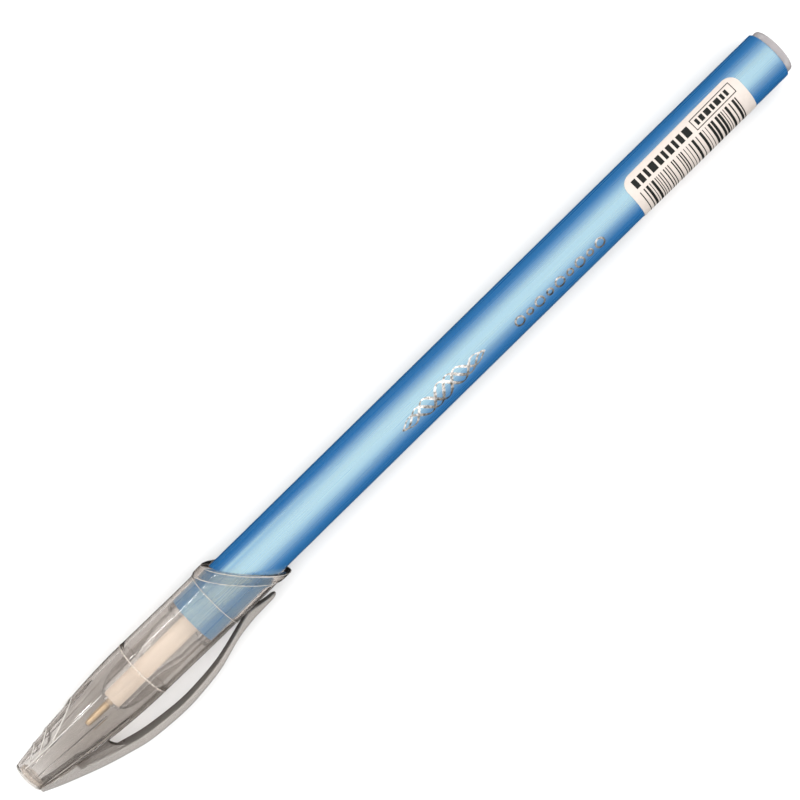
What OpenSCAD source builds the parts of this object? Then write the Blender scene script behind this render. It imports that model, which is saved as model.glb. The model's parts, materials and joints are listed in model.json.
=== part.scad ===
// Capped ball-point stick pen with a slim refill, lying flat with its pocket clip
// turned to one side. Millimetres. +X runs from the cap's closed end to the tail,
// +Z is up, and the origin is the centre of the space it takes on the table.

/* [Pen] */
// Length of the capped pen, cap end to tail
pen_length = 150.4; // [140:0.1:165]
// How far the clip side is turned down from level, in degrees
clip_drop = 15; // [0:1:20]

/* [Barrel] */
// Outer diameter of the barrel tube
barrel_od = 8.0; // [7.8:0.05:8.1]
// Wall of the barrel tube
barrel_wall = 0.75; // [0.6:0.05:0.9]
// Station of the barrel's front end, measured from the cap end
barrel_front = 32.9; // [31:0.1:34]

/* [Cap] */
// Outer radius of the cap's straight part
cap_r = 4.70; // [4.65:0.05:4.8]
// Radius of the cap's flat closed end
cap_end_r = 2.5; // [2.3:0.1:2.8]
// Length of the cap's swelling nose, up to the step in its bore
cap_nose_length = 22.8; // [21:0.2:24]
// Station where the slanted mouth crosses the pen's axis
mouth_station = 43.75; // [42:0.25:46]
// Slant of the mouth, in degrees from square
mouth_slant = 41; // [30:1:45]
// Outer radius of the raised lip round the mouth
lip_r = 4.97; // [4.9:0.01:5.1]
// Width of the lip band along the pen
lip_width = 2.1; // [1.5:0.1:3]
// Running clearance of the cap on the barrel, radial
cap_clearance = 0.08; // [0.05:0.01:0.1]
// Number of stepped scallops on the cap's nose
scallops = 3; // [1:1:3]
// Depth of each scallop's step
scallop_depth = 0.35; // [0.2:0.05:0.4]

/* [Clip] */
// Width of the pocket clip at its foot
clip_width = 3.8; // [3.4:0.1:4]
// Width of the pocket clip at its free end
clip_tip_width = 2.0; // [1.8:0.1:2.6]
// Station of the place where the clip flexes
flex_station = 12.6; // [12.4:0.1:12.8]

/* [Refill] */
// Outer diameter of the ink tube
tube_od = 3.0; // [2.9:0.05:3.1]
// Inner diameter of the ink tube
tube_id = 2.0; // [1.8:0.05:2.1]
// Diameter of the writing ball
ball_d = 0.7; // [0.5:0.1:1.0]
// Station of the writing ball's front
point_station = 11.3; // [11:0.1:12]
// Station of the ink tube's front end
tube_front = 16.85; // [16.8:0.05:17]
// Station of the ink tube's open rear end
tube_rear = 138; // [120:1:139]

/* [Sticker] */
// Station of the sticker's front edge
label_front = 120.2; // [110:0.1:122]
// Length of the sticker along the pen
label_length = 22.5; // [15:0.5:25]
// How far round the barrel the sticker goes, in degrees
label_wrap = 172; // [90:1:300]

/* [Hidden] */
$fn = 64;

slack = 0.03;                                  // radial clearance of a push fit that slides
barrel_r = barrel_od / 2;
barrel_bore = barrel_r - barrel_wall;
plug_rim_length = 1.2;
tail_station = pen_length - plug_rim_length;   // the barrel ends here and the plug's rim starts
cap_bore_r = barrel_r + cap_clearance;
cap_end_wall = 1.05;
cap_inner_end_r = cap_end_r - 0.8;
cap_inner_r = 3.75;                            // the nose's bore, just ahead of the step
mould_step = 0.06;                             // the nose is this much smaller than the straight part

tube_r = tube_od / 2;
ink_r = tube_id / 2 - slack;
tube_hole_r = tube_r + slack;                  // the hole in the nose section that grips the tube
shank_r = 0.6;                                 // the slim brass shank ahead of the tube
shank_hole_r = shank_r + 0.05;
shank_front = 13.0;                            // the brass cone ends here
tip_rear = 21;                                 // end of the brass plug inside the tube
ball_r = ball_d / 2;
ball_seat = point_station + ball_r;            // station of the ball's centre
tip_rim = ball_seat - 0.15;                    // the brass is rolled in over the ball here
tip_rim_r = 0.42;
ink_front = tip_rear + 0.1;
ink_rear = 118;
follower_length = 4;

nose_front = 16.0;
nose_tip_r = 1.7;
nose_full_r = 3.4;                             // the nose section swells to this
nose_full_station = 23;
nose_swell_length = 6.4;
nose_skirt_r = 3.45;                           // and widens slowly to this at its collar
nose_collar = barrel_front - 1.3;
nose_collar_r = barrel_r - 0.05;
nose_spigot_end = barrel_front + 9;
nose_hollow_front = 24;
nose_hollow_r = 2.3;
spigot_r = barrel_bore - slack;                // both ends of the barrel take a spigot this big

plug_depth = 6.2;
plug_rim_r = 3.68;
plug_hollow_r = 2.2;
plug_floor = 0.6;
plug_corner = 0.35;

label_thickness = 0.08;
label_start = -26;                             // its top edge, in degrees from the line that faces up

cap_length = 60;                               // the cap is drawn this long, then cut at its mouth
scallop_steps = [[3.0, 24, 2.2], [5.4, 30, 3.0], [9.1, 36, 3.0]];   // [station, slant, run]
scallop_spread = 130;
scallop_tilt = 7;

// The clip's side view: [station, radius of its outer face, thickness]
clip_line = [[12.6, 7.0, 1.16], [16.7, 8.05, 1.2], [22.8, 8.57, 1.05], [27.3, 8.34, 0.97],
             [31, 7.8, 0.88], [34.7, 6.77, 0.75], [36.6, 6.35, 0.9], [39.2, 6.04, 1.2],
             [41.4, 5.97, 0.8], [43.2, 5.9, 0.45], [44.1, 5.75, 0.2]];
clip_steps = 3;                                // points between two of those
clip_end = 44.1;
flex_thickness = clip_line[0][2];
flex_r = clip_line[0][1] - flex_thickness / 2; // radius at which the clip flexes
knuckle_r = flex_thickness / 2;

// The clip's stiff foot: [station, radius of its outer face, thickness], then the web below it
foot_line = [[0.4, 2.1, 0.9], [5, 4.25, 1.1], [9, 5.75, 1.16], [flex_station, 7.0, 1.16]];
foot_steps = 4;
web_outline = [[1.5, 1.9], [flex_station, 6.3], [11.6, 5.2], [12.3, 4.1], [4, 2.8]];
web_width = 1.3;

// The space that the lying pen takes sets where its axis is
clip_out = 8.57;                               // the clip's farthest reach from the axis
clip_width_there = 3.25;
side_reach = clip_out * cos(clip_drop) + clip_width_there / 2 * sin(clip_drop);
axis_y = (side_reach - lip_r) / 2;
axis_z = lip_r;

// ---- curves ------------------------------------------------------------------------

// A point on a smooth curve through b and c, with a and d as their neighbours
function through(a, b, c, d, t) =
    0.5 * (2 * b + (c - a) * t + (2 * a - 5 * b + 4 * c - d) * t * t
           + (3 * b - a - 3 * c + d) * t * t * t);

function smooth_line(p, steps) = concat(
    [for (i = [0:len(p) - 2], k = [0:steps - 1])
        through(p[max(i - 1, 0)], p[i], p[i + 1], p[min(i + 2, len(p) - 1)], k / steps)],
    [p[len(p) - 1]]);

// The cap's nose: its outer and inner radius at a station
function swell(s) = sin(90 * min(1, s / cap_nose_length));
function nose_outer(s) = cap_end_r + (cap_r - mould_step - cap_end_r) * swell(s);
function nose_inner(s) = cap_inner_end_r + (cap_inner_r - cap_inner_end_r) * swell(s);

// Points of a quarter arc that rounds an outer corner at [r, s]
function corner(r, s, radius) =
    [for (a = [0:15:90]) [r - radius + radius * cos(a), s - radius + radius * sin(a)]];

// ---- placing -----------------------------------------------------------------------

// Sub-parts are drawn along Z from the cap end, with the clip's side towards +X,
// and this lays them down in the row's frame.
module lay_down() {
    translate([-pen_length / 2, axis_y, axis_z])
        rotate([clip_drop - 90, 0, 0])
            rotate([0, 90, 0])
                children();
}

// A plain tube between two stations
module ring(outer, inner, from, to) {
    rotate_extrude() translate([inner, from]) square([outer - inner, to - from]);
}

// A round hole from a station to past the end of the nose section
module bore_from(station, radius) {
    translate([0, 0, station]) cylinder(r = radius, h = nose_spigot_end + 1 - station);
}

// Everything ahead of a slanted plane that crosses the axis at a station
module ahead_of_slant(station) {
    translate([0, 0, station])
        rotate([0, -mouth_slant, 0])
            translate([-50, -50, -100])
                cube(100);
}

// ---- sub-parts ---------------------------------------------------------------------

module barrel_tube() {
    color("deepskyblue") lay_down()
        ring(barrel_r, barrel_bore, barrel_front, tail_station);
}

module product_label() {
    faces_up = -(90 + clip_drop);
    color("ivory") lay_down()
        rotate([0, 0, faces_up + label_start])
            rotate_extrude(angle = label_wrap)
                translate([barrel_r, label_front]) square([label_thickness, label_length]);
}

module end_plug() {
    hollow_end = tail_station - plug_floor;
    front = tail_station - plug_depth;
    color("lightgrey", 0.8) lay_down()
        rotate_extrude() polygon(concat(
            [[0, pen_length], [0, hollow_end], [plug_hollow_r, hollow_end], [plug_hollow_r, front],
             [spigot_r, front], [spigot_r, tail_station], [plug_rim_r, tail_station]],
            corner(plug_rim_r, pen_length, plug_corner)));
}

module nose_section() {
    color("whitesmoke", 0.6) lay_down() difference() {
        rotate_extrude() polygon(concat(
            [[0, nose_front], [nose_tip_r, nose_front]],
            [for (a = [0:15:90]) [nose_tip_r + (nose_full_r - nose_tip_r) * sin(a),
                                  nose_full_station - nose_swell_length * cos(a)]],
            [[nose_skirt_r, nose_collar], [nose_collar_r, nose_collar],
             [nose_collar_r, barrel_front], [spigot_r, barrel_front],
             [spigot_r, nose_spigot_end], [0, nose_spigot_end]]));
        bore_from(nose_front - 1, shank_hole_r);
        bore_from(tube_front - 0.05, tube_hole_r);
        bore_from(nose_hollow_front, nose_hollow_r);
    }
}

module refill_tube() {
    color("linen") lay_down() ring(tube_r, tube_id / 2, tube_front, tube_rear);
}

module tip_body() {
    plug_r = tube_id / 2;
    chamfer = 0.15;
    seat_gap = 0.015;
    throat_r = 0.2;
    duct_r = 0.35;
    duct_front = ball_seat + 1.5;
    color("goldenrod") lay_down() difference() {
        rotate_extrude() polygon([[0, tip_rim], [tip_rim_r, tip_rim], [tip_rim_r + 0.08, tip_rim + 0.3],
            [shank_r, shank_front], [shank_r, tube_front], [plug_r, tube_front],
            [plug_r, tip_rear - 0.4], [plug_r - chamfer, tip_rear], [0, tip_rear]]);
        translate([0, 0, ball_seat]) sphere(r = ball_r + seat_gap);
        translate([0, 0, ball_seat]) cylinder(r = throat_r, h = 2);
        translate([0, 0, duct_front]) cylinder(r = duct_r, h = tip_rear + 1 - duct_front);
    }
}

module writing_ball() {
    color("silver") lay_down()
        translate([0, 0, ball_seat]) sphere(r = ball_r);
}

module ink_column() {
    color("midnightblue") lay_down()
        translate([0, 0, ink_front]) cylinder(r = ink_r, h = ink_rear - ink_front);
}

module ink_follower() {
    color("khaki") lay_down()
        translate([0, 0, ink_rear]) cylinder(r = ink_r, h = follower_length);
}

// One scallop: a step that faces the tail, cut by a tilted ring wedge that bites deepest
// on the side away from the clip and runs out round the flanks
module scallop(step_station, slant, run) {
    reach = nose_outer(step_station) / cos(slant);
    climb = run * tan(slant + scallop_tilt);
    translate([0, 0, step_station - nose_outer(step_station) * tan(slant)])
        rotate([0, slant, 0])
            rotate([0, 0, 180 - scallop_spread / 2])
                rotate_extrude(angle = scallop_spread)
                    polygon([[reach - scallop_depth, 0], [reach + 3, 0],
                             [reach + 3, run], [reach + climb, run]]);
}

module cap_shell() {
    color("gainsboro", 0.6) lay_down() difference() {
        union() {
            cap_body();
            lip();
            clip_foot();
        }
        cap_bore();
        for (k = [0:scallops - 1])
            scallop(scallop_steps[k][0], scallop_steps[k][1], scallop_steps[k][2]);
    }
}

module cap_body() {
    points = 8;
    intersection() {
        rotate_extrude() polygon(concat(
            [[0, 0]],
            [for (i = [0:points]) let (s = i * cap_nose_length / points) [nose_outer(s), s]],
            [[cap_r, cap_nose_length], [cap_r, cap_length], [0, cap_length]]));
        ahead_of_slant(mouth_station);
    }
}

module lip() {
    difference() {
        intersection() {
            cylinder(r = lip_r, h = cap_length);
            ahead_of_slant(mouth_station);
        }
        ahead_of_slant(mouth_station - lip_width);
    }
}

module cap_bore() {
    points = 6;
    rotate_extrude() polygon(concat(
        [[0, cap_end_wall]],
        [for (i = [0:points])
            let (s = cap_end_wall + i * (cap_nose_length - cap_end_wall) / points)
            [nose_inner(s), s]],
        [[cap_bore_r, cap_nose_length], [cap_bore_r, cap_length + 1], [0, cap_length + 1]]));
}

// A flat shape drawn as [station, radius] in the clip's own plane, with a width across it
module slab(points, width) {
    rotate([90, 0, 0])
        linear_extrude(height = width, center = true)
            polygon([for (p = points) [p[1], p[0]]]);
}

// The side view of a stretch of clip from its line of [station, outer radius, thickness]
function strip(line) = concat(
    [for (p = line) [p[0], p[1]]],
    [for (i = [len(line) - 1:-1:0]) [line[i][0], line[i][1] - line[i][2]]]);

// The stiff foot of the clip: a flange that grows out of the cap's end, on a thin web
module clip_foot() {
    cut = 3;
    difference() {
        union() {
            slab(strip(smooth_line(foot_line, foot_steps)), clip_width);
            slab(web_outline, web_width);
        }
        translate([flex_r, 0, flex_station])
            rotate([90, 0, 0])
                cylinder(r = knuckle_r + slack, h = clip_width + 1, center = true);
        translate([flex_r - cut / 2, -clip_width, flex_station - slack])
            cube([cut, 2 * clip_width, cut]);
    }
}

// Plan view of the clip: it narrows towards a rounded free end
module clip_plan() {
    tip_r = clip_tip_width / 2;
    linear_extrude(height = 20)
        polygon(concat(
            [[-clip_width / 2, flex_station - 1], [clip_width / 2, flex_station - 1]],
            [for (a = [0:30:180]) [tip_r * cos(a), clip_end - tip_r + tip_r * sin(a)]]));
}

module pocket_clip() {
    color("gainsboro", 0.6) lay_down() {
        intersection() {
            slab(strip(smooth_line(clip_line, clip_steps)), clip_width + 1);
            rotate([90, 0, 90]) clip_plan();
        }
        translate([flex_r, 0, flex_station])
            rotate([90, 0, 0])
                cylinder(r = knuckle_r, h = clip_width, center = true);
    }
}

barrel_tube();
product_label();
end_plug();
nose_section();
refill_tube();
tip_body();
writing_ball();
ink_column();
ink_follower();
cap_shell();
pocket_clip();
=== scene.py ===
"""Looks of the capped stick pen: detailed meshes and procedural materials over its CAD frame."""
import json
import math
import random

import bpy
import numpy as np
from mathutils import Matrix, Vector


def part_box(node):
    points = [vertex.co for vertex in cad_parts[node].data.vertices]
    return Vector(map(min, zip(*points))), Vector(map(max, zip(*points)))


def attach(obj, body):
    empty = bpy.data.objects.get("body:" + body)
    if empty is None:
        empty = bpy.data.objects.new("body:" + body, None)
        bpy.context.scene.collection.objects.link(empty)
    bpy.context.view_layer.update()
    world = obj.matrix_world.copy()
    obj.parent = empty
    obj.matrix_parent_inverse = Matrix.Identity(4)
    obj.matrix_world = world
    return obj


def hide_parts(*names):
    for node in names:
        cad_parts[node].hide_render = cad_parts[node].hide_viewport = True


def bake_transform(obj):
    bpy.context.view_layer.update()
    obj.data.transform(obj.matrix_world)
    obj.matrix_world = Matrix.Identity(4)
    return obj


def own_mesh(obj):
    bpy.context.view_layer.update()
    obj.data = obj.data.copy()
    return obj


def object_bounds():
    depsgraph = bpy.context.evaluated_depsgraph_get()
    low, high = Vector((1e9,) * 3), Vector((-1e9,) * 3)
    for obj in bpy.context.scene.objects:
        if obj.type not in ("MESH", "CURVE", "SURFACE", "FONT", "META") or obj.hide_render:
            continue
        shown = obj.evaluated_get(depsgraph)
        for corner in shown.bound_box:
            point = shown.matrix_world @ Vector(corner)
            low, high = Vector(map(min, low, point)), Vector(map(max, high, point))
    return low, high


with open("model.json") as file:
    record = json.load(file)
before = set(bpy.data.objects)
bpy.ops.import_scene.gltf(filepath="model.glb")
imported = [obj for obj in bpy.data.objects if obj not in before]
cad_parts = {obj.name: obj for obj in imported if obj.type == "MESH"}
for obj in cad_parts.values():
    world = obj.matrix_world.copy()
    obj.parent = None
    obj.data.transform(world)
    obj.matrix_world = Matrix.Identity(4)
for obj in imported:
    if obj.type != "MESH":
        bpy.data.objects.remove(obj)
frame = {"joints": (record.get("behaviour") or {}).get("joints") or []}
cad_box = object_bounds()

MM = 0.001
X = Vector((1, 0, 0))

# ---- the pen's own frame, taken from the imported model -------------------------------

barrel_lo, barrel_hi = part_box("barrel_tube")
plug_lo, plug_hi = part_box("end_plug")
refill_lo, refill_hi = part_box("refill_tube")
nose_lo, nose_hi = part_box("nose_section")
flex = next(j for j in frame["joints"] if j["name"] == "clip_flex")

CAP_END = Vector((cad_box[0].x, (barrel_lo.y + barrel_hi.y) / 2, (barrel_lo.z + barrel_hi.z) / 2))
ACROSS = Vector(flex["axis"]).normalized()     # the clip's hinge line
CLIP_WAY = ACROSS.cross(X)                     # from the pen's axis out to the clip
UP_ANGLE = math.atan2(ACROSS.z, CLIP_WAY.z)    # angle round the pen that faces straight up

BARREL_R = (barrel_hi.z - barrel_lo.z) / 2 / MM


def station(x):
    """Distance in mm behind the cap's closed end."""
    return (x - CAP_END.x) / MM


BARREL_FRONT, BARREL_END = station(barrel_lo.x), station(barrel_hi.x)
PEN_END = station(plug_hi.x)
FLEX_STATION = station(flex["pos_m"][0])
TUBE_R = (refill_hi.z - refill_lo.z) / 2 / MM
TUBE_FRONT, TUBE_END = station(refill_lo.x), station(refill_hi.x)
NOSE_FRONT, NOSE_END = station(nose_lo.x), station(nose_hi.x)
TIP_FRONT = station(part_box("writing_ball")[0].x)
BALL_R = (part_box("writing_ball")[1].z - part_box("writing_ball")[0].z) / 2 / MM


def placed(s, out, across):
    """Points from mm along the pen, mm out from its axis towards the clip, and mm across that."""
    s, out, across = np.broadcast_arrays(s, out, across)
    mm = np.outer(s.ravel(), X) + np.outer(out.ravel(), CLIP_WAY) + np.outer(across.ravel(), ACROSS)
    return (np.array(CAP_END) + MM * mm).reshape(*s.shape, 3)


def round_pen(s, r, angle):
    """Points from station and radius in mm and the angle round the pen from the clip's side."""
    return placed(s, r * np.cos(angle), r * np.sin(angle))


# ---- mesh helpers -------------------------------------------------------------------


def mesh_object(name, points, faces, material, sharp=40):
    mesh = bpy.data.meshes.new(name)
    mesh.from_pydata([tuple(p) for p in points], [], faces)
    mesh.validate()
    mesh.shade_smooth()
    mesh.set_sharp_from_angle(angle=math.radians(sharp))
    mesh.materials.append(material)
    made = bpy.data.objects.new(name, mesh)
    bpy.context.scene.collection.objects.link(made)
    return made


def wrapped(name, rows, material, sharp=40):
    """A closed skin from rows of points that each go round, with its first and last rows shut."""
    count, around = rows.shape[:2]
    points = list(rows.reshape(-1, 3))
    faces = []
    for i in range(count - 1):
        for k in range(around):
            a, b = i * around + k, i * around + (k + 1) % around
            faces.append((a, b, b + around, a + around))
    for row, first in ((0, True), (count - 1, False)):
        middle = len(points)
        points.append(rows[row].mean(0))
        for k in range(around):
            a, b = row * around + k, row * around + (k + 1) % around
            faces.append((b, a, middle) if first else (a, b, middle))
    return mesh_object(name, points, faces, material, sharp)


def hooped(name, rows, material, sharp=40):
    """A closed skin whose last row of points joins its first, such as a tube with an inside."""
    count, around = rows.shape[:2]
    faces = []
    for i in range(count):
        for k in range(around):
            a, b = i * around + k, i * around + (k + 1) % around
            c, d = (i + 1) % count * around + (k + 1) % around, (i + 1) % count * around + k
            faces.append((a, b, c, d))
    return mesh_object(name, list(rows.reshape(-1, 3)), faces, material, sharp)


def filleted(outline, steps=5):
    """Points of [station, radius, fillet] with each corner rounded by its fillet."""
    made = []
    for i, (s, r, f) in enumerate(outline):
        here = np.array((s, r), float)
        if f <= 0 or i in (0, len(outline) - 1):
            made.append(here)
            continue
        ways = [np.array(outline[j][:2], float) - here for j in (i - 1, i + 1)]
        lengths = [np.linalg.norm(w) for w in ways]
        a, b = (here + w / n * min(f, n * 0.49) for w, n in zip(ways, lengths))
        for t in np.linspace(0, 1, steps):
            made.append((1 - t) ** 2 * a + 2 * t * (1 - t) * here + t * t * b)
    return np.array(made)


def dense(outline, longest):
    """The same outline with no gap between points longer than longest, in mm."""
    made = [outline[0]]
    for a, b in zip(outline[:-1], outline[1:]):
        n = max(1, math.ceil(np.linalg.norm(b - a) / longest))
        made += [a + (b - a) * k / n for k in range(1, n + 1)]
    return np.array(made)


def turned(name, outline, material, around=96, longest=4.0, closed=False, sharp=40):
    """A turned piece from its outline in mm. Closed joins the outline's end to its start."""
    line = dense(filleted(outline), longest)
    angles = np.linspace(0, 2 * math.pi, around, endpoint=False)
    rows = round_pen(line[:, :1], np.maximum(line[:, 1:], 0), angles[None, :])
    return (hooped if closed else wrapped)(name, rows, material, sharp)


def eased(t):
    t = np.clip(t, 0, 1)
    return t * t * (3 - 2 * t)


def smooth_line(points, per_gap):
    """A smooth curve through rows of numbers, by Catmull-Rom."""
    p = np.array(points, float)
    p = np.vstack([p[0], p, p[-1]])
    made = []
    for i in range(1, len(p) - 2):
        for t in np.arange(per_gap) / per_gap:
            a, b, c, d = p[i - 1], p[i], p[i + 1], p[i + 2]
            made.append(0.5 * (2 * b + (c - a) * t + (2 * a - 5 * b + 4 * c - d) * t * t
                               + (3 * b - a - 3 * c + d) * t ** 3))
    return np.array(made + [p[-2]])


# ---- materials ----------------------------------------------------------------------


class Nodes:
    """A few short calls for building a node tree."""

    def __init__(self, name):
        self.material = bpy.data.materials.new(name)
        self.material.use_nodes = True
        self.tree = self.material.node_tree
        self.tree.nodes.clear()
        self.place = self.add("ShaderNodeTexCoord").outputs["Object"]

    def add(self, kind, **values):
        node = self.tree.nodes.new(kind)
        for key, value in values.items():
            if hasattr(node, key):
                setattr(node, key, value)
            else:
                node.inputs[key.replace("_", " ")].default_value = value
        return node

    def link(self, a, b):
        self.tree.links.new(a, b)

    def stretched(self, scale):
        node = self.add("ShaderNodeMapping")
        node.inputs["Scale"].default_value = scale
        self.link(self.place, node.inputs["Vector"])
        return node.outputs["Vector"]

    def noise(self, scale, stretch=(1, 1, 1), detail=3.0, roughness=0.55):
        node = self.add("ShaderNodeTexNoise", Scale=scale, Detail=detail, Roughness=roughness)
        self.link(self.stretched(stretch), node.inputs["Vector"])
        return node.outputs["Fac"]

    def ranged(self, value, low, high, from_low=0.3, from_high=0.7):
        node = self.add("ShaderNodeMapRange")
        limits = {"From Min": from_low, "From Max": from_high, "To Min": low, "To Max": high}
        for key, number in limits.items():
            node.inputs[key].default_value = number
        self.link(value, node.inputs["Value"])
        return node.outputs["Result"]

    def maths(self, operation, a, b):
        node = self.add("ShaderNodeMath", operation=operation)
        for socket, value in zip(node.inputs, (a, b)):
            if isinstance(value, (int, float)):
                socket.default_value = value
            else:
                self.link(value, socket)
        return node.outputs[0]

    def mixed(self, share, a, b):
        node = self.add("ShaderNodeMix", data_type="RGBA")
        for socket, value in zip((node.inputs[6], node.inputs[7]), (a, b)):
            if isinstance(value, tuple):
                socket.default_value = (*value, 1)
            else:
                self.link(value, socket)
        self.link(share, node.inputs[0])
        return node.outputs[2]

    def bump(self, height, strength, distance):
        node = self.add("ShaderNodeBump", Strength=strength, Distance=distance)
        self.link(height, node.inputs["Height"])
        return node.outputs["Normal"]

    def shader(self, **sockets):
        node = self.add("ShaderNodeBsdfPrincipled")
        for key, value in sockets.items():
            socket = node.inputs[key.replace("_", " ")]
            if isinstance(value, bpy.types.NodeSocket):
                self.link(value, socket)
            elif isinstance(value, tuple) and len(value) == 3:
                socket.default_value = (*value, 1)
            else:
                socket.default_value = value
        return node.outputs["BSDF"]

    def out(self, shader, volume=None):
        node = self.add("ShaderNodeOutputMaterial")
        self.link(shader, node.inputs["Surface"])
        if volume:
            self.link(volume, node.inputs["Volume"])
        return self.material

    def lets_lamps_through(self, shader, tint):
        """Lamps shine through the plastic as through tinted film, so what it covers is lit."""
        film = self.add("ShaderNodeBsdfTransparent", Color=(*tint, 1))
        mix = self.add("ShaderNodeMixShader")
        self.link(self.add("ShaderNodeLightPath").outputs["Is Shadow Ray"], mix.inputs[0])
        self.link(shader, mix.inputs[1])
        self.link(film.outputs[0], mix.inputs[2])
        return mix.outputs[0]


GRAIN_SCALE, GRAIN_DEPTH = 400, 0.00003         # features per metre, and metres deep

PEARL_DEEP, PEARL_LIGHT = (0.005, 0.107, 0.320), (0.009, 0.131, 0.360)
FLAKE, FLAKE_SHARE = (0.04, 0.21, 0.45), 0.4
PEARL_STREAKS, PEARL_FLAKES = 900, 9000
PEARL_ROUGHNESS = 0.25, 0.30
PEARL_IOR = 2.57                    # the pearl film mirrors far more than plain plastic does
PEARL_TINT = (0.88, 1.0, 0.60)      # and its reflection is cyan


def pearl_blue():
    n = Nodes("pearl_blue")
    streaks = n.noise(PEARL_STREAKS, (0.02, 1, 1), 4)
    flakes = n.noise(PEARL_FLAKES, (1, 1, 1), 2)
    blue = n.mixed(n.ranged(streaks, 0, 1), PEARL_DEEP, PEARL_LIGHT)
    blue = n.mixed(n.ranged(flakes, 0, FLAKE_SHARE, 0.45, 0.75), blue, FLAKE)
    height = n.maths("ADD", n.maths("MULTIPLY", streaks, 0.6), n.maths("MULTIPLY", flakes, 0.4))
    return n.out(n.shader(Base_Color=blue, Roughness=n.ranged(streaks, *PEARL_ROUGHNESS),
                          IOR=PEARL_IOR, Specular_Tint=PEARL_TINT,
                          Normal=n.bump(height, 0.5, GRAIN_DEPTH)))


PLASTIC_IOR = 1.46
PLASTIC_GLOSS = (0.5, 0.5, 0.5)     # halves the reflections, or the cap looks veiled
PLASTIC_SMOKE = (0.50, 0.44, 0.39, 1)           # the colour that thick plastic tends to
PLASTIC_FLOW, PLASTIC_SPECKS, MOULD_DEPTH = 900, 2600, 0.00002
FLOW_SHADE, FROST_SHADE = 0.05, 0.86            # how far the flow lines darken the colour
LAMP_FILM = (0.93, 0.92, 0.91)


def clear_plastic(name, tint, haze, roughness, density, frosted=None, pocket=None):
    """Moulded plastic that dims light along its way through. Haze is how milky it is. Frosted gives
    the colour and roughness ahead of the mould line at the end of the cap's nose. The pocket colour
    is painted shade: a dark colour laid where the mesh's pocket attribute marks the clip's pocket,
    to stand for the shade in that recess."""
    n = Nodes(name)
    flow = n.noise(PLASTIC_FLOW, (0.12, 1, 1), 4, 0.6)
    specks = n.noise(PLASTIC_SPECKS, (1, 1, 1), 2)
    rough = n.ranged(flow, roughness * 0.7, roughness * 1.4)
    shaded = tuple(c * (1 - FLOW_SHADE) for c in tint)
    colour = n.mixed(n.ranged(flow, 0, 1), shaded, tint)
    if frosted:
        milky, dull = frosted
        parts = n.add("ShaderNodeSeparateXYZ")
        n.link(n.place, parts.inputs[0])
        edge = CAP_END.x + SWELL_END * MM
        ahead = n.ranged(parts.outputs["X"], 1, 0, edge - 0.0001, edge + 0.0001)
        shaded = tuple(c * FROST_SHADE for c in milky)
        colour = n.mixed(ahead, colour, n.mixed(n.ranged(flow, 0, 1), shaded, milky))
        frost = n.ranged(flow, dull * 0.5, dull * 1.3)
        rough = n.maths("ADD", rough, n.maths("MULTIPLY", ahead, frost))
    # Painted shade: plastic that the pocket attribute marks gets a dark colour for the shade in the
    # clip's pocket.
    if pocket:
        shade_mask = n.add("ShaderNodeAttribute", attribute_name="pocket")
        colour = n.mixed(shade_mask.outputs["Fac"], colour, pocket)
    height = n.maths("ADD", flow, n.maths("MULTIPLY", specks, 0.3))
    shader = n.shader(Base_Color=colour, Roughness=rough, IOR=PLASTIC_IOR,
                      Transmission_Weight=1 - haze, Specular_Tint=PLASTIC_GLOSS,
                      Normal=n.bump(height, 0.25, MOULD_DEPTH))
    smoke = n.add("ShaderNodeVolumeAbsorption", Color=PLASTIC_SMOKE, Density=density)
    return n.out(n.lets_lamps_through(shader, LAMP_FILM), smoke.outputs[0])


def plain(name, dark, light, roughness, scale=GRAIN_SCALE, stretch=(1, 1, 1), bump=0.2, **sockets):
    """A material that doesn't let light through, with grain in its colour, roughness and height."""
    n = Nodes(name)
    grain = n.noise(scale, stretch, 4)
    return n.out(n.shader(Base_Color=n.mixed(n.ranged(grain, 0, 1), dark, light),
                          Roughness=n.ranged(grain, roughness * 0.85, roughness * 1.15),
                          Normal=n.bump(grain, bump, GRAIN_DEPTH), **sockets))


# ---- cap ----------------------------------------------------------------------------

CAP_R, CAP_END_R, END_ROUND = 4.70, 2.50, 0.28
SWELL_END = 22.8                    # the cap's nose swells up to this mould line
SECOND_LINE = 37.2                  # a second mould line, just ahead of the mouth
MOULD_LINE, MOULD_LINE_WIDTH = 0.08, 0.10
MOUTH, MOUTH_RISE = 43.75, math.tan(math.radians(41))
LIP_WIDTH = 2.1
# The lip from its front to the mouth: mm ahead of the mouth plane, and mm out from the skirt
LIP_STEPS = ((2.06, 0.06), (2.0, 0.14), (1.9, 0.19), (1.7, 0.215), (1.2, 0.225), (0.7, 0.235),
             (0.35, 0.24), (0.2, 0.23), (0.09, 0.19), (0.02, 0.12))
BORE_R, BORE_FRONT_R = 4.08, 4      # inner radius behind and ahead of the first mould line
NOSE_BORE, END_BORE = 2.0, 1.85     # inner radius at the closed end, and of its flat floor
END_WALL, END_FILLET = 0.25, 0.3
RIB_DEPTH, RIB_WIDTH, RIB_END = 0.16, 0.06, 16.8    # fine ribs along the inside of the nose
RIB_PAIRS, RIB_FADE = 4, 1.5
# Each scallop ends in a ridge: its station at the facet's edge and at the cap's outline
SCALLOP_RIDGES = (0.6, 1.2), (1.9, 4.3), (3.9, 7.1), (6.6, 12.7)
SCALLOP_DEPTHS = 0.14, 0.34, 0.46
RIDGE_BEND = 1.25                   # how a ridge bows on its way from the edge to the outline
FACET_DEPTH = 0.12                  # the scalloped side lies this much lower than the rest
FACET_EDGE, FACET_CLIMB = 1.78, 0.034
FACET_FADE, FACET_END = 14, 16.8
EDGE_BEAD, RIDGE_BEAD = 0.08, 0.09  # radii of the fine beads along the facet's edge and the ridges
LEAN, LEAN_END = 0.0115, 34         # mm of lean for each mm ahead of the end station


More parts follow.
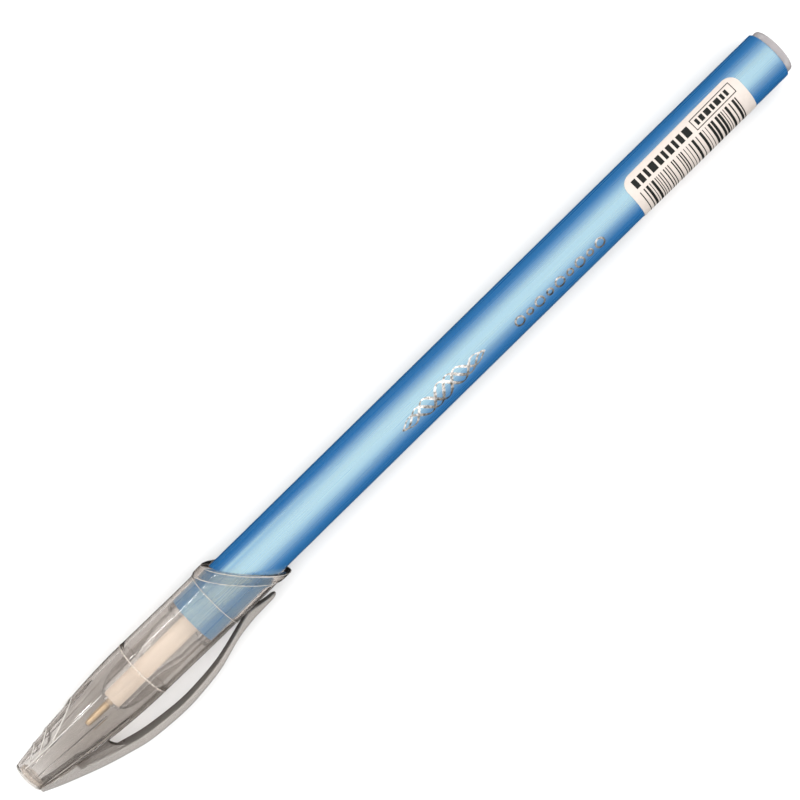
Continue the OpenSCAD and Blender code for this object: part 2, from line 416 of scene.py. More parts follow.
def base_radius(s):
    """The cap's outer radius without scallops or lip, with a fine raised line at each mould line."""
    swell = np.sin(np.pi / 2 * np.clip(s / SWELL_END, 0, 1))
    nose = CAP_END_R + (CAP_R - 0.02 - CAP_END_R) * swell
    bead = sum(MOULD_LINE * np.exp(-((s - line) / MOULD_LINE_WIDTH) ** 2)
               for line in (SWELL_END, SECOND_LINE))
    back = CAP_R - 0.02 + 0.05 * eased((s - SECOND_LINE) / 0.04)
    return np.where(s < SWELL_END, nose, back) + bead


def lean(s):
    """The cap's nose leans a little: how far its middle lies out from the axis, to the clip."""
    return -LEAN * np.maximum(LEAN_END - np.asarray(s, float), 0)


def scallop_cut(s, height):
    """How far the grip scallops cut in, at a height above the axis, away from the clip."""
    floor = FACET_EDGE + FACET_CLIMB * s            # the scallops stop along this line
    lift = np.clip((height - floor) / (base_radius(s) - floor), 0, 1)
    ridges = [low + (high - low) * lift ** RIDGE_BEND for low, high in SCALLOP_RIDGES]
    cut = np.zeros_like(s)
    for depth, front, back in zip(SCALLOP_DEPTHS, ridges[:-1], ridges[1:]):
        t = np.clip((s - front) / (back - front), 0, 1)
        cut = np.maximum(cut, depth * t ** 1.3 * (1 - eased((t - 0.8) / 0.2)))
    bowed = np.clip(lift * 4, 0, 1) * (1 - 0.5 * lift ** 2)
    fade = 1 - eased((s - FACET_FADE) / (FACET_END - FACET_FADE))
    facet = FACET_DEPTH * eased((height - floor) / 0.12) * (1 - lift) * fade
    return facet + cut * bowed


def cap_rows(around=320):
    """Rows of the cap's skin: its end, its outside, its lip, then its inside back to the end."""
    angle = np.linspace(0, 2 * math.pi, around, endpoint=False)
    one = np.ones_like(angle)
    rows = []

    def row(s, r):
        rows.append(placed(s * one, r * np.cos(angle) + lean(s), r * np.sin(angle)))

    def at_mouth(back, r):
        """A row at a distance ahead of the slanted mouth plane."""
        row(MOUTH + MOUTH_RISE * r * np.cos(angle) - back, r)

    for r in np.linspace(0.3, CAP_END_R - 0.3, 6):
        row(0, r)
    quarter = np.linspace(0, math.pi / 2, 5)
    for t in quarter:
        row(END_ROUND - END_ROUND * math.cos(t), CAP_END_R - END_ROUND + END_ROUND * math.sin(t))
    bead = np.linspace(-0.26, 0.26, 14)
    scalloped, smooth = np.arange(0.4, 14, 0.11), np.arange(14, SWELL_END - 0.4, 0.5)
    behind = np.arange(SWELL_END + 0.6, SECOND_LINE - 0.5, 0.9)
    for s in np.concatenate([scalloped, smooth, SWELL_END + bead, behind, SECOND_LINE + bead]):
        r = base_radius(np.full_like(angle, s))
        row(s, r - scallop_cut(s * one, -r * np.cos(angle)))
    skirt = CAP_R + 0.03
    lip_start = MOUTH + MOUTH_RISE * skirt * np.cos(angle) - LIP_WIDTH
    start = SECOND_LINE + bead[-1]
    for t in np.linspace(0.08, 1, 12):
        row(start + t * (lip_start - start), skirt)
    for back, out in LIP_STEPS:
        at_mouth(back, skirt + out)
    for back, r in ((0.0, skirt + 0.02), (0.0, BORE_R + 0.3), (0.03, BORE_R + 0.14),
                    (0.12, BORE_R + 0.03), (0.3, BORE_R)):
        at_mouth(back, r)
    inner_start = MOUTH + MOUTH_RISE * BORE_R * np.cos(angle) - 0.3
    for t in np.linspace(0.1, 1, 10):
        row(inner_start + t * (SECOND_LINE - inner_start - 0.2), BORE_R)
    for s in np.arange(SECOND_LINE - 1.2, SWELL_END + 0.4, -1.2):
        row(s, BORE_R)
    row(SWELL_END + 0.05, BORE_R)
    row(SWELL_END, BORE_R - 0.03)
    ribs = np.exp(-(np.cos(RIB_PAIRS * (angle - UP_ANGLE)) / (RIB_PAIRS * RIB_WIDTH)) ** 2)
    ahead = np.arange(SWELL_END - 0.6, END_WALL + 0.5, -0.8)
    for s in np.concatenate([[SWELL_END - 0.02], ahead]):
        reach = float(eased((RIB_END - s) / RIB_FADE) * eased((s - 1) / RIB_FADE))
        swell = math.sin(math.pi / 2 * s / SWELL_END)
        row(s, NOSE_BORE + (BORE_FRONT_R - NOSE_BORE) * swell - RIB_DEPTH * reach * ribs)
    for t in quarter:
        row(END_WALL + END_FILLET - END_FILLET * math.sin(t), END_BORE + END_FILLET * math.cos(t))
    for r in (1.5, 1.0, 0.6, 0.25):
        row(END_WALL, r)
    return np.array(rows)


def make_cap(material):
    cap = wrapped("cap_moulding", cap_rows(), material, sharp=50)
    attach(cap, "cap")
    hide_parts("cap_shell")


def beaded(name, path, radius, material, closed=False):
    """A fine round bead along a path on the cap's skin. A closed path runs all the way round."""
    if closed:
        along = np.roll(path, -1, 0) - np.roll(path, 1, 0)
    else:
        along = np.gradient(path, axis=0)
    along /= np.linalg.norm(along, axis=1)[:, None]
    out = path - np.array(CAP_END)
    out[:, 0] = 0
    out -= along * (out * along).sum(1)[:, None]
    out /= np.linalg.norm(out, axis=1)[:, None]
    side = np.cross(along, out)
    turn = np.linspace(0, 2 * math.pi, 8, endpoint=False)[None, :, None]
    count = np.arange(len(path))
    ends = np.minimum(count, count[::-1]).clip(0, 3)[:, None, None] / 3
    size = radius * MM * (1 if closed else 0.15 + 0.85 * ends)
    rows = path[:, None] + size * (np.cos(turn) * out[:, None] + np.sin(turn) * side[:, None])
    return (hooped if closed else wrapped)(name, rows[:, ::-1], material, sharp=80)


# The pale disc in the cap's closed end, as station, radius and fillet
END_DISC = [(0.28, 0, 0), (0.28, 1.85, 0), (0.5, 2.0, 0.1), (1.0, 2.06, 0.1), (1.0, 0, 0)]
# Beads that follow the slanted mouth: mm ahead of it, mm out from the cap's skin, and bead radius
LIP_BEADS = (LIP_WIDTH, 0.06, 0.07), (0.25, 0.22, 0.06)
SECOND_BEAD, END_BEAD, END_BEAD_AT = 0.06, 0.13, 0.17


def make_milky_parts_and_bead_highlights(material, bead_material):
    """The disc in the closed end, the ring on the mould line, and the beads on the grip's edges,
    the lip, the second mould line and the end's rim. The beads are fine raised edges; their pale
    milky plastic is painted highlight for the light that these edges catch."""
    disc = turned("end_disc", END_DISC, material, around=64, longest=1)
    line, r = SWELL_END, CAP_R + 0.05
    outline = [(line - 0.12, r - 0.04, 0), (line - 0.06, r + 0.005, 0.03),
               (line + 0.06, r + 0.005, 0.03), (line + 0.12, r - 0.04, 0.02)]
    ring = turned("witness_ring", outline, material, around=128, longest=1, closed=True)
    for piece, s in ((disc, 0.6), (ring, line)):
        piece.location += Vector(placed(0, lean(s), 0) - placed(0, 0, 0))

    def on_skin(s, height, side):
        across = np.sqrt(np.maximum(base_radius(s) ** 2 - height ** 2, 0))
        return placed(s, lean(s) - height, side * across)

    pieces = [disc, ring]
    s = np.linspace(0.8, FACET_END, 50)
    for k, side in enumerate((-1, 1)):
        path = on_skin(s, FACET_EDGE + FACET_CLIMB * s, side)
        pieces.append(beaded(f"edge_bead_{k}", path, EDGE_BEAD, bead_material))
    turn = np.linspace(-1, 1, 81)
    lift = 1 - np.abs(turn) ** 2
    for k, (low, high) in enumerate(SCALLOP_RIDGES[1:]):
        s = low + (high - low) * lift ** RIDGE_BEND
        floor = FACET_EDGE + FACET_CLIMB * s
        path = on_skin(s, floor + (base_radius(s) - floor) * lift, np.sign(turn))
        pieces.append(beaded(f"ridge_bead_{k}", path, RIDGE_BEAD, bead_material))
    angle = np.linspace(0, 2 * math.pi, 120, endpoint=False)
    for k, (back, out, radius) in enumerate(LIP_BEADS):
        r = CAP_R + out
        path = round_pen(MOUTH + MOUTH_RISE * r * np.cos(angle) - back, r, angle)
        pieces.append(beaded(f"lip_bead_{k}", path, radius, bead_material, closed=True))
    path = round_pen(SECOND_LINE, CAP_R + 0.02, angle)
    pieces.append(beaded("second_line", path, SECOND_BEAD, bead_material, closed=True))
    path = round_pen(END_BEAD_AT, CAP_END_R - 0.14, angle) + placed(0, lean(0), 0) - placed(0, 0, 0)
    pieces.append(beaded("end_bead", path, END_BEAD, bead_material, closed=True))
    for piece in pieces:
        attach(piece, "cap")


# Side view of the clip with its foot: station, radius of the outer face, thickness, width
CLIP_LINE = [(0.35, 2.25, 0.7, 3.6), (2.5, 3.25, 0.95, 3.8), (5, 4.3, 1.1, 3.85),
             (9, 5.85, 1.16, 3.85), (12.6, 7.0, 1.18, 3.8), (16.7, 8.05, 1.2, 3.6),
             (22.8, 8.57, 1.05, 3.25), (27.3, 8.34, 0.97, 3.0), (31, 7.8, 0.88, 2.78),
             (34.7, 6.77, 0.76, 2.57), (36.6, 6.35, 0.88, 2.46), (39.2, 6.04, 1.2, 2.3),
             (41.4, 5.97, 0.8, 2.15), (43.0, 5.93, 0.5, 2.0)]
CLIP_EDGE = 0.28                    # rounding of the clip's long edges
FOOT_END, WEB_END = 6.3, 11.7       # the foot is solid down to the cap, then a web joins them
WEB_HALF, WEB_FILLET, POCKET_ROUND = 0.6, 1.5, 2.4
# How much of the pocket's painted shade each point of a section takes: the clip's edges, its inner
# face and the web
POCKET_SHADE_WEIGHT = np.array([0] * 14 + [0.2, 0.6] + [1] * 5 + [0.6, 0.2] + [0] * 4)


def clip_section(s, outer, thick, width):
    """One section of the clip as points (out, across), with its web down to the cap's wall."""
    inner, half = outer - thick, width / 2
    edge = min(CLIP_EDGE, thick * 0.45)
    solid = 1 - float(eased((s - FOOT_END) / POCKET_ROUND))
    inner_edge = edge * (1 - 0.9 * solid)
    web_half = WEB_HALF + solid * (half - WEB_HALF - 0.04)
    past = min(max((s - WEB_END) / WEB_FILLET, 0), 1)
    sunk = 1 - math.sqrt(1 - (1 - past) ** 2) if past > 0 else 1
    web = inner - sunk * max(inner - float(base_radius(np.array(s)) + lean(s)) + 0.15, 0)

    def arc(x, y, radius, start):
        return [(x + radius * math.cos(t), y + radius * math.sin(t))
                for t in np.radians(start - np.linspace(0, 90, 5))]

    points = arc(outer - edge, half - edge, edge, 90) + arc(outer - edge, edge - half, edge, 0)
    points += arc(inner + inner_edge, inner_edge - half, inner_edge, -90)
    points += [(inner, -web_half - 0.02)]
    points += [(web, y) for y in np.linspace(-web_half, web_half, 5)]
    points += [(inner, web_half + 0.02)]
    points += arc(inner + inner_edge, half - inner_edge, inner_edge, 180)
    return np.array(points)


CLIP_STEP, FINE_STEP = 0.45, 0.1    # mm between sections, and where the pocket begins and ends
TIP_TURNS = 15, 30, 45, 60, 75, 85  # degrees of the sections that round off the free end
# Where the clip bends: mm behind the hinge and mm out from the axis, at the start and the end.
# make_clip works out these two points but doesn't bend the clip.
BEND_FROM, BEND_TO = (-0.6, 6.4), (8, 7.6)


def make_clip(material):
    line = smooth_line(CLIP_LINE, 20)
    front = np.arange(FOOT_END - 0.1, FOOT_END + POCKET_ROUND + 0.1, FINE_STEP)
    back = np.arange(WEB_END - 0.1, WEB_END + WEB_FILLET + 0.1, FINE_STEP)
    even = np.arange(line[0, 0], line[-1, 0], CLIP_STEP)
    rows, shade_weights = [], []
    for s in np.unique(np.concatenate([even, front, back, line[-1:, 0]]).round(3)):
        # Painted shade: each row's weights for the dark pocket colour, from just behind the foot to
        # the web's end
        behind = 1 - eased((s - WEB_END) / WEB_FILLET)
        shade_weights.append(POCKET_SHADE_WEIGHT * eased((s - FOOT_END) / 0.3) * behind)
        outer, thick, width = (np.interp(s, line[:, 0], line[:, k]) for k in (1, 2, 3))
        section = clip_section(s, outer, thick, width)
        rows.append(placed(s, section[:, 0], section[:, 1]))
    middle = np.array((outer - thick / 2, 0))
    for turn in np.radians(TIP_TURNS):
        shape = middle + (section - middle) * (math.cos(turn) ** 0.75, math.cos(turn))
        rows.append(placed(s + width / 2 * math.sin(turn), shape[:, 0], shape[:, 1]))
    clip = wrapped("clip_moulding", np.array(rows), material, sharp=50)
    # The pocket attribute carries these painted-shade weights to the clip's material.
    depth = np.zeros(len(clip.data.vertices))
    depth[:len(shade_weights) * len(POCKET_SHADE_WEIGHT)] = np.ravel(shade_weights)
    clip.data.attributes.new("pocket", "FLOAT", "POINT").data.foreach_set("value", depth)
    start, end = (placed(FLEX_STATION + s, out, 0) for s, out in (BEND_FROM, BEND_TO))
    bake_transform(clip)
    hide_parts("pocket_clip")


# ---- barrel, plug, nose -------------------------------------------------------------


# Every outline below is a list of station, radius and fillet, in mm
BARREL_WALL, SPIGOT_GAP = 0.75, 0.03
SPIGOT_R = BARREL_R - BARREL_WALL - SPIGOT_GAP
PLUG_RIM, PLUG_LENGTH, PLUG_BORE = 3.68, 6.2, 2.2
COLLAR_R, TIP_BORE = BARREL_R - 0.05, 0.65
INK_R = 0.97


def ride_as(piece, body, slot, *nodes):
    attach(piece, body)
    if nodes:
        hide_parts(*nodes)


def make_barrel(material):
    bore = BARREL_R - BARREL_WALL
    outline = [(BARREL_FRONT, bore, 0), (BARREL_FRONT, BARREL_R, 0.08),
               (BARREL_END, BARREL_R, 0.12), (BARREL_END, bore, 0.05),
               (BARREL_FRONT + 0.3, bore, 0.05)]
    barrel = turned("barrel_skin", outline, material, around=128, longest=5, closed=True)
    ride_as(barrel, "barrel", "barrel_pearl", "barrel_tube")


def make_plug(material):
    front = BARREL_END - PLUG_LENGTH
    outline = [(PEN_END, 0, 0), (PEN_END, 1.2, 0), (PEN_END - 0.05, PLUG_RIM, 0.4),
               (BARREL_END, PLUG_RIM, 0.06), (BARREL_END, SPIGOT_R, 0.05),
               (front, SPIGOT_R, 0.3), (front, PLUG_BORE, 0.1),
               (BARREL_END - 0.6, PLUG_BORE, 0.2), (BARREL_END - 0.6, 0, 0)]
    ride_as(turned("tail_plug", outline, material), "plug", "plug_plastic", "end_plug")


def make_nose(material):
    collar, bore, seat = BARREL_FRONT - 1.3, TUBE_R + 0.03, TUBE_FRONT - 0.05
    # A quarter of an ellipse, from the nose's front out to its straight part
    swell = [(23 - 6.4 * math.cos(t), 1.7 + 1.7 * math.sin(t), 0)
             for t in np.linspace(0.12, math.pi / 2, 14)]
    outline = [(NOSE_FRONT, 0.75, 0), (NOSE_FRONT, 1.72, 0.1), *swell,
               (collar, 3.45, 0.05), (collar, COLLAR_R, 0.15),
               (BARREL_FRONT, COLLAR_R, 0.1), (BARREL_FRONT, SPIGOT_R, 0.05),
               (NOSE_END, SPIGOT_R, 0.3), (NOSE_END, 2.3, 0.1), (28, 2.3, 0.5), (24, bore, 0.5),
               (seat, bore, 0.05), (seat, TIP_BORE, 0.05), (NOSE_FRONT + 0.1, TIP_BORE, 0.05)]
    nose = turned("nose_moulding", outline, material, longest=3, closed=True)
    ride_as(nose, "nose", "clear_plastic", "nose_section")


# ---- refill -------------------------------------------------------------------------


def make_tube(material):
    bore = 1.0
    outline = [(TUBE_FRONT, bore, 0), (TUBE_FRONT, TUBE_R, 0.12), (TUBE_END, TUBE_R, 0.1),
               (TUBE_END, bore, 0.05), (TUBE_FRONT + 0.2, bore, 0.05)]
    tube = turned("ink_tube", outline, material, around=64, longest=6, closed=True)
    ride_as(tube, "refill", "tube_plastic", "refill_tube")


def make_tip(brass, ball_material):
    rim, shank, insert = TIP_FRONT + BALL_R - 0.15, 0.6, 0.99
    outline = [(rim + 0.02, 0.34, 0), (rim, 0.42, 0.03), (rim + 0.3, 0.5, 0.05), (13, shank, 0.1),
               (13.1, shank - 0.03, 0.02), (13.2, shank, 0.02), (15.5, shank, 0),
               (15.55, shank - 0.05, 0.02), (15.65, shank - 0.05, 0.02), (15.7, shank, 0.02),
               (TUBE_FRONT, shank, 0.03), (TUBE_FRONT, insert, 0.02), (20.6, insert, 0.05),
               (21, 0.85, 0.05), (21, 0.35, 0.05), (rim + 1.8, 0.35, 0.05),
               (rim + 0.6, 0.2, 0.05), (rim + 0.35, 0.3, 0.05)]
    tip = turned("brass_tip", outline, brass, around=64, longest=1, closed=True)
    ride_as(tip, "refill", "tip_brass", "tip_body")

    polar = np.linspace(0.08, math.pi - 0.08, 25)[:, None]
    angles = np.linspace(0, 2 * math.pi, 32, endpoint=False)[None, :]
    stations = TIP_FRONT + BALL_R - BALL_R * np.cos(polar)
    ball = wrapped("tip_ball", round_pen(stations, BALL_R * np.sin(polar), angles), ball_material)
    ride_as(ball, "ball", "ball_carbide", "writing_ball")


def make_ink(ink, grease):
    low, high = (station(p.x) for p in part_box("ink_column"))
    high -= 0.05                        # a hair's gap to the grease, at rest and when used up
    outline = [(low, 0, 0), (low, INK_R, 0.05), (high, INK_R, 0.02), (high, 0, 0)]
    column = turned("ink_fill", outline, ink, around=48, longest=8)
    ride_as(column, "refill", "ink", "ink_column")
    placed(low, 0, 0)
    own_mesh(column)

    low, high = (station(p.x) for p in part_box("ink_follower"))
    outline = [(low, 0, 0), (low, INK_R, 0.02), (high, INK_R, 0.02), (high - 0.5, 0, 0)]
    plug = turned("grease_plug", outline, grease, around=48, longest=1)
    ride_as(plug, "follower", "grease", "ink_follower")


# ---- sticker and foil ---------------------------------------------------------------


def plates(name, shapes, height, thickness, material):
    """Thin curved plates on the barrel. Each shape is a grid of (station, mm round from the line
    that faces up, positive towards the clip)."""
    points, faces = [], []
    for grid in shapes:
        grid = np.asarray(grid, float)
        rows, cols = grid.shape[:2]
        first = len(points)
        for r in (BARREL_R + height, BARREL_R + height + thickness):
            angle = UP_ANGLE + grid[..., 1] / BARREL_R
            points += list(round_pen(grid[..., 0], r, angle).reshape(-1, 3))

        def at(i, k, layer):
            return first + (layer * rows + i) * cols + k

        for i in range(rows - 1):
            for k in range(cols - 1):
                corners = (i, k), (i, k + 1), (i + 1, k + 1), (i + 1, k)
                faces.append(tuple(at(*corner, 1) for corner in corners))
                faces.append(tuple(at(*corners[j], 0) for j in (0, 3, 2, 1)))
        border = [(0, k) for k in range(cols)] + [(i, cols - 1) for i in range(1, rows)]
        border += [(rows - 1, k) for k in range(cols - 2, -1, -1)]
        border += [(i, 0) for i in range(rows - 2, 0, -1)]
        for (i, k), (j, m) in zip(border, border[1:] + border[:1]):
            faces.append((at(i, k, 0), at(j, m, 0), at(j, m, 1), at(i, k, 1)))
    return mesh_object(name, points, faces, material)


def rectangle(s0, s1, a0, a1, step=0.4):
    rows, cols = (max(2, math.ceil(abs(d) / step) + 1) for d in (s1 - s0, a1 - a0))
    s, a = np.meshgrid(np.linspace(s0, s1, rows), np.linspace(a0, a1, cols), indexing="ij")
    return np.stack([s, a], -1)


def stroke(points, width):
    """A ribbon along a line of (station, round) points, with its ends pointed."""
    p = np.array(points, float)
    way = np.gradient(p, axis=0)
    side = np.stack([-way[:, 1], way[:, 0]], -1) / np.linalg.norm(way, axis=1)[:, None]
    w = np.broadcast_to(width, len(p))[:, None] / 2
    return np.stack([p - side * w, p, p + side * w], 1)


LABEL_FROM, LABEL_TO = (station(p.x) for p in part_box("product_label"))
# The sticker's top edge, in mm round the barrel from the line that faces up, and its flat width
LABEL_TOP, LABEL_DEEP = -1.82, 12.0
LABEL_THICK, LABEL_CORNER = 0.07, 1.8
LABEL_SLOPE = math.tan(math.radians(0.8))       # it is put on a little askew
PRINT_SEED, PRINT_THICK = 5, 0.006
# Rows of print: mm round from the sticker's top edge to the row's top and foot
BLOCK_ROW, FRAME_ROW, SMALL_ROW, BAR_ROW = (1.0, 2.4), (0.75, 2.6), (1.2, 2.15), (3.0, 8.6)
BLOCK_WIDTHS, BLOCK_GAP, BLOCKS_FROM, BLOCKS_TO = (0.55, 0.8, 0.8, 1.1), 0.38, 1.3, 12.0
SMALL_WIDTHS, SMALL_GAP = (0.5, 0.7, 0.9), 0.3
FRAME_FROM, FRAME_MARGIN, FRAME_LINE = 13.3, 1.3, 0.13
BAR_WIDTHS, BAR_GAPS = (0.12, 0.16, 0.2, 0.42), (0.18, 0.26, 0.4, 0.55)
BARS_FROM, BARS_MARGIN = 1.2, 1.9


def make_label(paper, print_ink):
    corner = LABEL_CORNER * (1 - np.cos(np.linspace(0, math.pi / 2, 9)))
    middle = np.linspace(LABEL_FROM + LABEL_CORNER, LABEL_TO - LABEL_CORNER, 20)
    grid = []
    for s in np.unique(np.concatenate([LABEL_FROM + corner, middle, LABEL_TO - corner])):
        gap = max(LABEL_FROM + LABEL_CORNER - s, s - LABEL_TO + LABEL_CORNER, 0)
        inset = LABEL_CORNER - math.sqrt(max(LABEL_CORNER ** 2 - gap ** 2, 0))
        shift = -LABEL_SLOPE * (s - LABEL_FROM)
        arc = np.linspace(LABEL_TOP + inset, LABEL_TOP + LABEL_DEEP - inset, 41) + shift
        grid.append([(s, a) for a in arc])
    label = plates("paper_label", [grid], 0.0, LABEL_THICK, paper)
    ride_as(label, "barrel", "label_paper", "product_label")

    draw = random.Random(PRINT_SEED)
    shapes = []

    def block(s0, s1, a0, a1):
        shape = rectangle(s0, s1, a0, a1)
        shape[..., 1] += LABEL_TOP - LABEL_SLOPE * (shape[..., 0] - LABEL_FROM)
        shapes.append(shape)

    def blocks(s, end, row, widths, gaps):
        while s < end:
            wide = draw.choice(widths)
            block(s, s + wide, *row)
            s += wide + (draw.choice(gaps) if isinstance(gaps, tuple) else gaps)

    blocks(LABEL_FROM + BLOCKS_FROM, LABEL_FROM + BLOCKS_TO, BLOCK_ROW, BLOCK_WIDTHS, BLOCK_GAP)
    left, right = LABEL_FROM + FRAME_FROM, LABEL_TO - FRAME_MARGIN
    top, low = FRAME_ROW
    for a in (top, low - FRAME_LINE):
        block(left, right, a, a + FRAME_LINE)
    for edge in (left, right - FRAME_LINE):
        block(edge, edge + FRAME_LINE, top, low)
    blocks(left + 0.6, right - 1.1, SMALL_ROW, SMALL_WIDTHS, SMALL_GAP)
    blocks(LABEL_FROM + BARS_FROM, LABEL_TO - BARS_MARGIN, BAR_ROW, BAR_WIDTHS, BAR_GAPS)
    ink = plates("label_print", shapes, LABEL_THICK, PRINT_THICK, print_ink)
    ride_as(ink, "barrel", "print_black")


# The foil: three braided waves, then a row of rings. Places are stations and mm round the barrel.
WAVE_FROM, WAVE_TO, WAVE_MIDDLE, WAVE_HEIGHT, WAVES = 73.5, 90.0, 1.75, 1.45, 2.5
WAVE_SHIFTS = 0, math.pi / 2, math.pi
WAVE_THIN, WAVE_THICK = 0.14, 0.36
RINGS, RING_FROM, RING_STEP, RING_MIDDLE, RING_LINE = 9, 96.5, 2.0, 2.4, 0.3
RING_SIZES = 0.75, 0.5              # by turns
FOIL_THICK = 0.012


def make_foil(foil):
    shapes = []
    s = np.linspace(WAVE_FROM, WAVE_TO, 90)
    t = (s - WAVE_FROM) / (WAVE_TO - WAVE_FROM)
    swell = np.sin(np.pi * t) ** 0.6
    for shift in WAVE_SHIFTS:
        turn = 2 * np.pi * WAVES * t + shift
        a = WAVE_MIDDLE + WAVE_HEIGHT * swell * np.sin(turn)
        width = WAVE_THIN + WAVE_THICK * swell * np.abs(np.cos(turn))
        shapes.append(stroke(np.stack([s, a], -1), width))
    turn = np.linspace(0, 2 * math.pi, 25)
    for k in range(RINGS):
        size = RING_SIZES[k % 2]
        s = RING_FROM + RING_STEP * k + size * np.cos(turn)
        a = RING_MIDDLE + size * 0.95 * np.sin(turn)
        shapes.append(stroke(np.stack([s, a], -1), RING_LINE))
    ornament = plates("foil_ornament", shapes, 0.0, FOIL_THICK, foil)
    ride_as(ornament, "barrel", "foil_silver")


# ---- studio -------------------------------------------------------------------------

CAMERA_LENS = 94.5
CAMERA_AT = CAP_END + 75.1 * MM * X + Vector((0, 0.00005, 0.303))
CAMERA_TURN = 0.395, 0.052, -44.468     # degrees

# Lamps for the highlights on the cap: name, place, aim, size in metres and power in watts
LAMPS = [("line_lamp", (-0.116, 0.42, 0.28), (-0.045, 0.004, 0.009), (0.04, 0.02), 0.1),
         ("grip_lamp", (-0.245, 0.279, 0.384), (-0.062, 0.004, 0.009), (0.02, 0.05), 0.3)]

# A soft dome, brightest overhead: height from the horizon (0) to straight up (1), and brightness
SKY = [(0.0, 0.0), (0.03, 0.06), (0.3, 0.20), (0.6, 0.42), (0.87, 0.88), (1.0, 1.0)]
SKY_STRENGTH = 2.95
SKY_TOP = (0, -0.055, 1)            # the brightest part lies a little to the clip's side
BACKDROP = 0.36                     # the least brightness, seen straight or through plastic

FLOOR_HALF, FLOOR_GAP = 3.0, 0.0001     # metres


def make_camera():
    """Almost straight above the pen's middle, rolled so that the pen rises to the right."""
    camera = bpy.data.cameras.new("camera")
    camera.sensor_width = 36
    camera.lens = CAMERA_LENS
    camera.clip_start, camera.clip_end = 0.01, 20
    holder = bpy.data.objects.new("camera", camera)
    holder.location = CAMERA_AT
    holder.rotation_euler = [math.radians(a) for a in CAMERA_TURN]
    bpy.context.scene.collection.objects.link(holder)
    bpy.context.scene.camera = holder


def area_light(name, where, aim, size, power):
    light = bpy.data.lights.new(name, "AREA")
    light.shape = "RECTANGLE"
    light.size, light.size_y = size
    light.energy = power
    holder = bpy.data.objects.new(name, light)
    holder.location = where
    way = Vector(aim) - Vector(where)
    holder.rotation_euler = way.to_track_quat("-Z", "Y").to_euler()
    bpy.context.scene.collection.objects.link(holder)


def make_floor(material):
    mesh = bpy.data.meshes.new("floor")
    corners = (-1, -1), (1, -1), (1, 1), (-1, 1)
    mesh.from_pydata([(x * FLOOR_HALF, y * FLOOR_HALF, 0) for x, y in corners], [], [(0, 1, 2, 3)])
    mesh.materials.append(material)
    floor = bpy.data.objects.new("floor", mesh)
    floor.location.z = cad_box[0].z - FLOOR_GAP
    floor.visible_glossy = False
    bpy.context.scene.collection.objects.link(floor)


def make_sky():
    world = bpy.data.worlds.new("studio")
    world.use_nodes = True
    tree = world.node_tree
    heading = tree.nodes.new("ShaderNodeVectorMath")
    heading.operation = "DOT_PRODUCT"
    heading.inputs[1].default_value = Vector(SKY_TOP).normalized()
    place = tree.nodes.new("ShaderNodeTexCoord").outputs["Generated"]
    tree.links.new(place, heading.inputs[0])
    sky = tree.nodes.new("ShaderNodeValToRGB")
    for _ in range(len(SKY) - len(sky.color_ramp.elements)):
        sky.color_ramp.elements.new(0.5)
    for element, (height, level) in zip(sky.color_ramp.elements, SKY):
        element.position = height
        element.color = (level, level, level, 1)
    tree.links.new(heading.outputs["Value"], sky.inputs["Fac"])

    def maths(operation, a, b):
        node = tree.nodes.new("ShaderNodeMath")
        node.operation = operation
        for socket, value in zip(node.inputs, (a, b)):
            if isinstance(value, float):
                socket.default_value = value
            else:
                tree.links.new(value, socket)
        return node.outputs[0]

    rays = tree.nodes.new("ShaderNodeLightPath").outputs
    seen = maths("MAXIMUM", rays["Is Camera Ray"], rays["Is Transmission Ray"])
    level = maths("MAXIMUM", sky.outputs["Color"], maths("MULTIPLY", seen, BACKDROP))
    tree.links.new(level, tree.nodes["Background"].inputs["Color"])
    tree.nodes["Background"].inputs["Strength"].default_value = SKY_STRENGTH
    bpy.context.scene.world = world


# ---- the pen ------------------------------------------------------------------------

make_camera()
make_cap(clear_plastic("cap_plastic", tint=(0.98, 0.97, 0.96), haze=0.02, roughness=0.03,
                       density=740, frosted=((0.98, 0.97, 0.96), 0.05)))
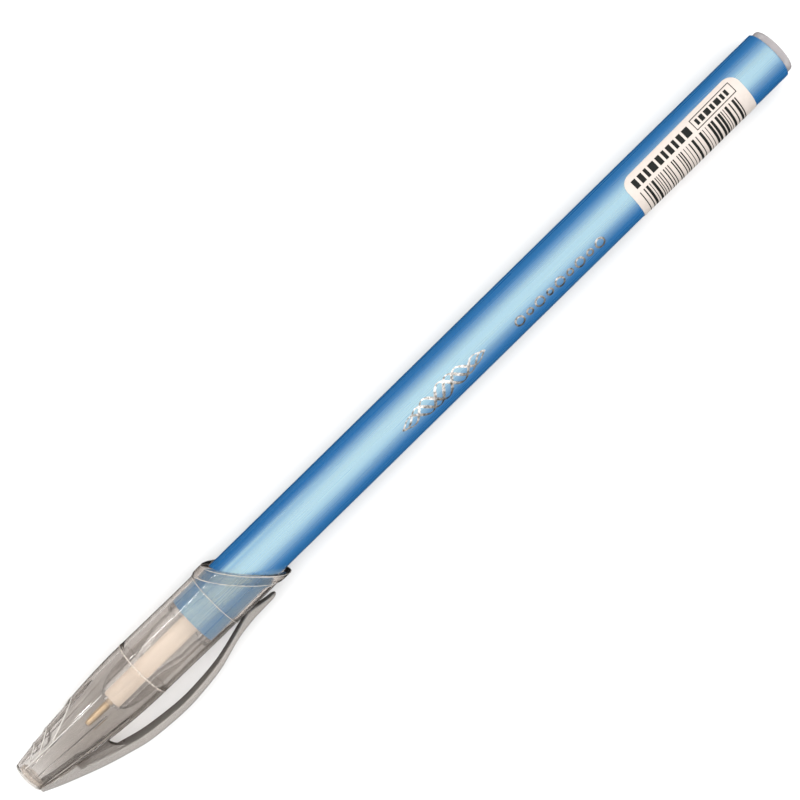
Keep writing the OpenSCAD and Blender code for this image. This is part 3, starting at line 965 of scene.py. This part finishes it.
# The beads' pale milky plastic is painted highlight: it shows the light lines along the grip's
# ridges and edges, the lip and the rims.
make_milky_parts_and_bead_highlights(clear_plastic("milky_plastic", tint=(0.88, 0.82, 0.76), haze=0.20,
                               roughness=0.25, density=200),
                 clear_plastic("bead_plastic", tint=(0.94, 0.90, 0.85), haze=0.48,
                               roughness=0.15, density=100))
# The clip's pocket colour is painted shade for the dark recess between the clip and the cap.
make_clip(clear_plastic("clip_plastic", tint=(0.80, 0.755, 0.71), haze=0.25, roughness=0.12,
                        density=520, pocket=(0.20, 0.165, 0.14)))
make_barrel(pearl_blue())
make_plug(clear_plastic("plug_plastic", tint=(0.80, 0.74, 0.75), haze=0.35, roughness=0.2,
                        density=400))
make_nose(clear_plastic("nose_plastic", tint=(0.97, 0.96, 0.95), haze=0.04, roughness=0.05,
                        density=60))
make_tube(plain("tube_plastic", (0.84, 0.74, 0.63), (0.90, 0.80, 0.68), roughness=0.45, scale=300,
                stretch=(0.1, 1, 1)))
make_tip(plain("tip_brass", (0.42, 0.30, 0.17), (0.54, 0.41, 0.25), roughness=0.32, scale=3000,
               stretch=(6, 1, 1), Metallic=1.0),
         plain("ball_metal", (0.42, 0.42, 0.43), (0.5, 0.5, 0.5), roughness=0.15, scale=9000,
               Metallic=1.0))
make_ink(plain("blue_ink", (0.004, 0.010, 0.10), (0.006, 0.014, 0.14), roughness=0.15, scale=500),
         plain("clear_grease", (0.55, 0.50, 0.22), (0.62, 0.57, 0.28), roughness=0.2, scale=500))
make_label(plain("label_paper", (0.53, 0.47, 0.425), (0.57, 0.505, 0.46), roughness=0.5,
                 scale=1500),
           plain("label_ink", (0.006, 0.007, 0.006), (0.014, 0.015, 0.014), roughness=0.6,
                 scale=2500, Specular_IOR_Level=0.12))
make_foil(plain("silver_foil", (0.02, 0.019, 0.017), (0.66, 0.63, 0.60), roughness=0.16,
                scale=2200, bump=1.0, Metallic=1.0))
make_floor(plain("floor_paper", (0.75, 0.75, 0.75), (0.77, 0.77, 0.77), roughness=0.9, scale=30,
                 bump=0.02))
for lamp in LAMPS:
    area_light(*lamp)
make_sky()
bpy.context.scene.view_settings.view_transform = "Standard"
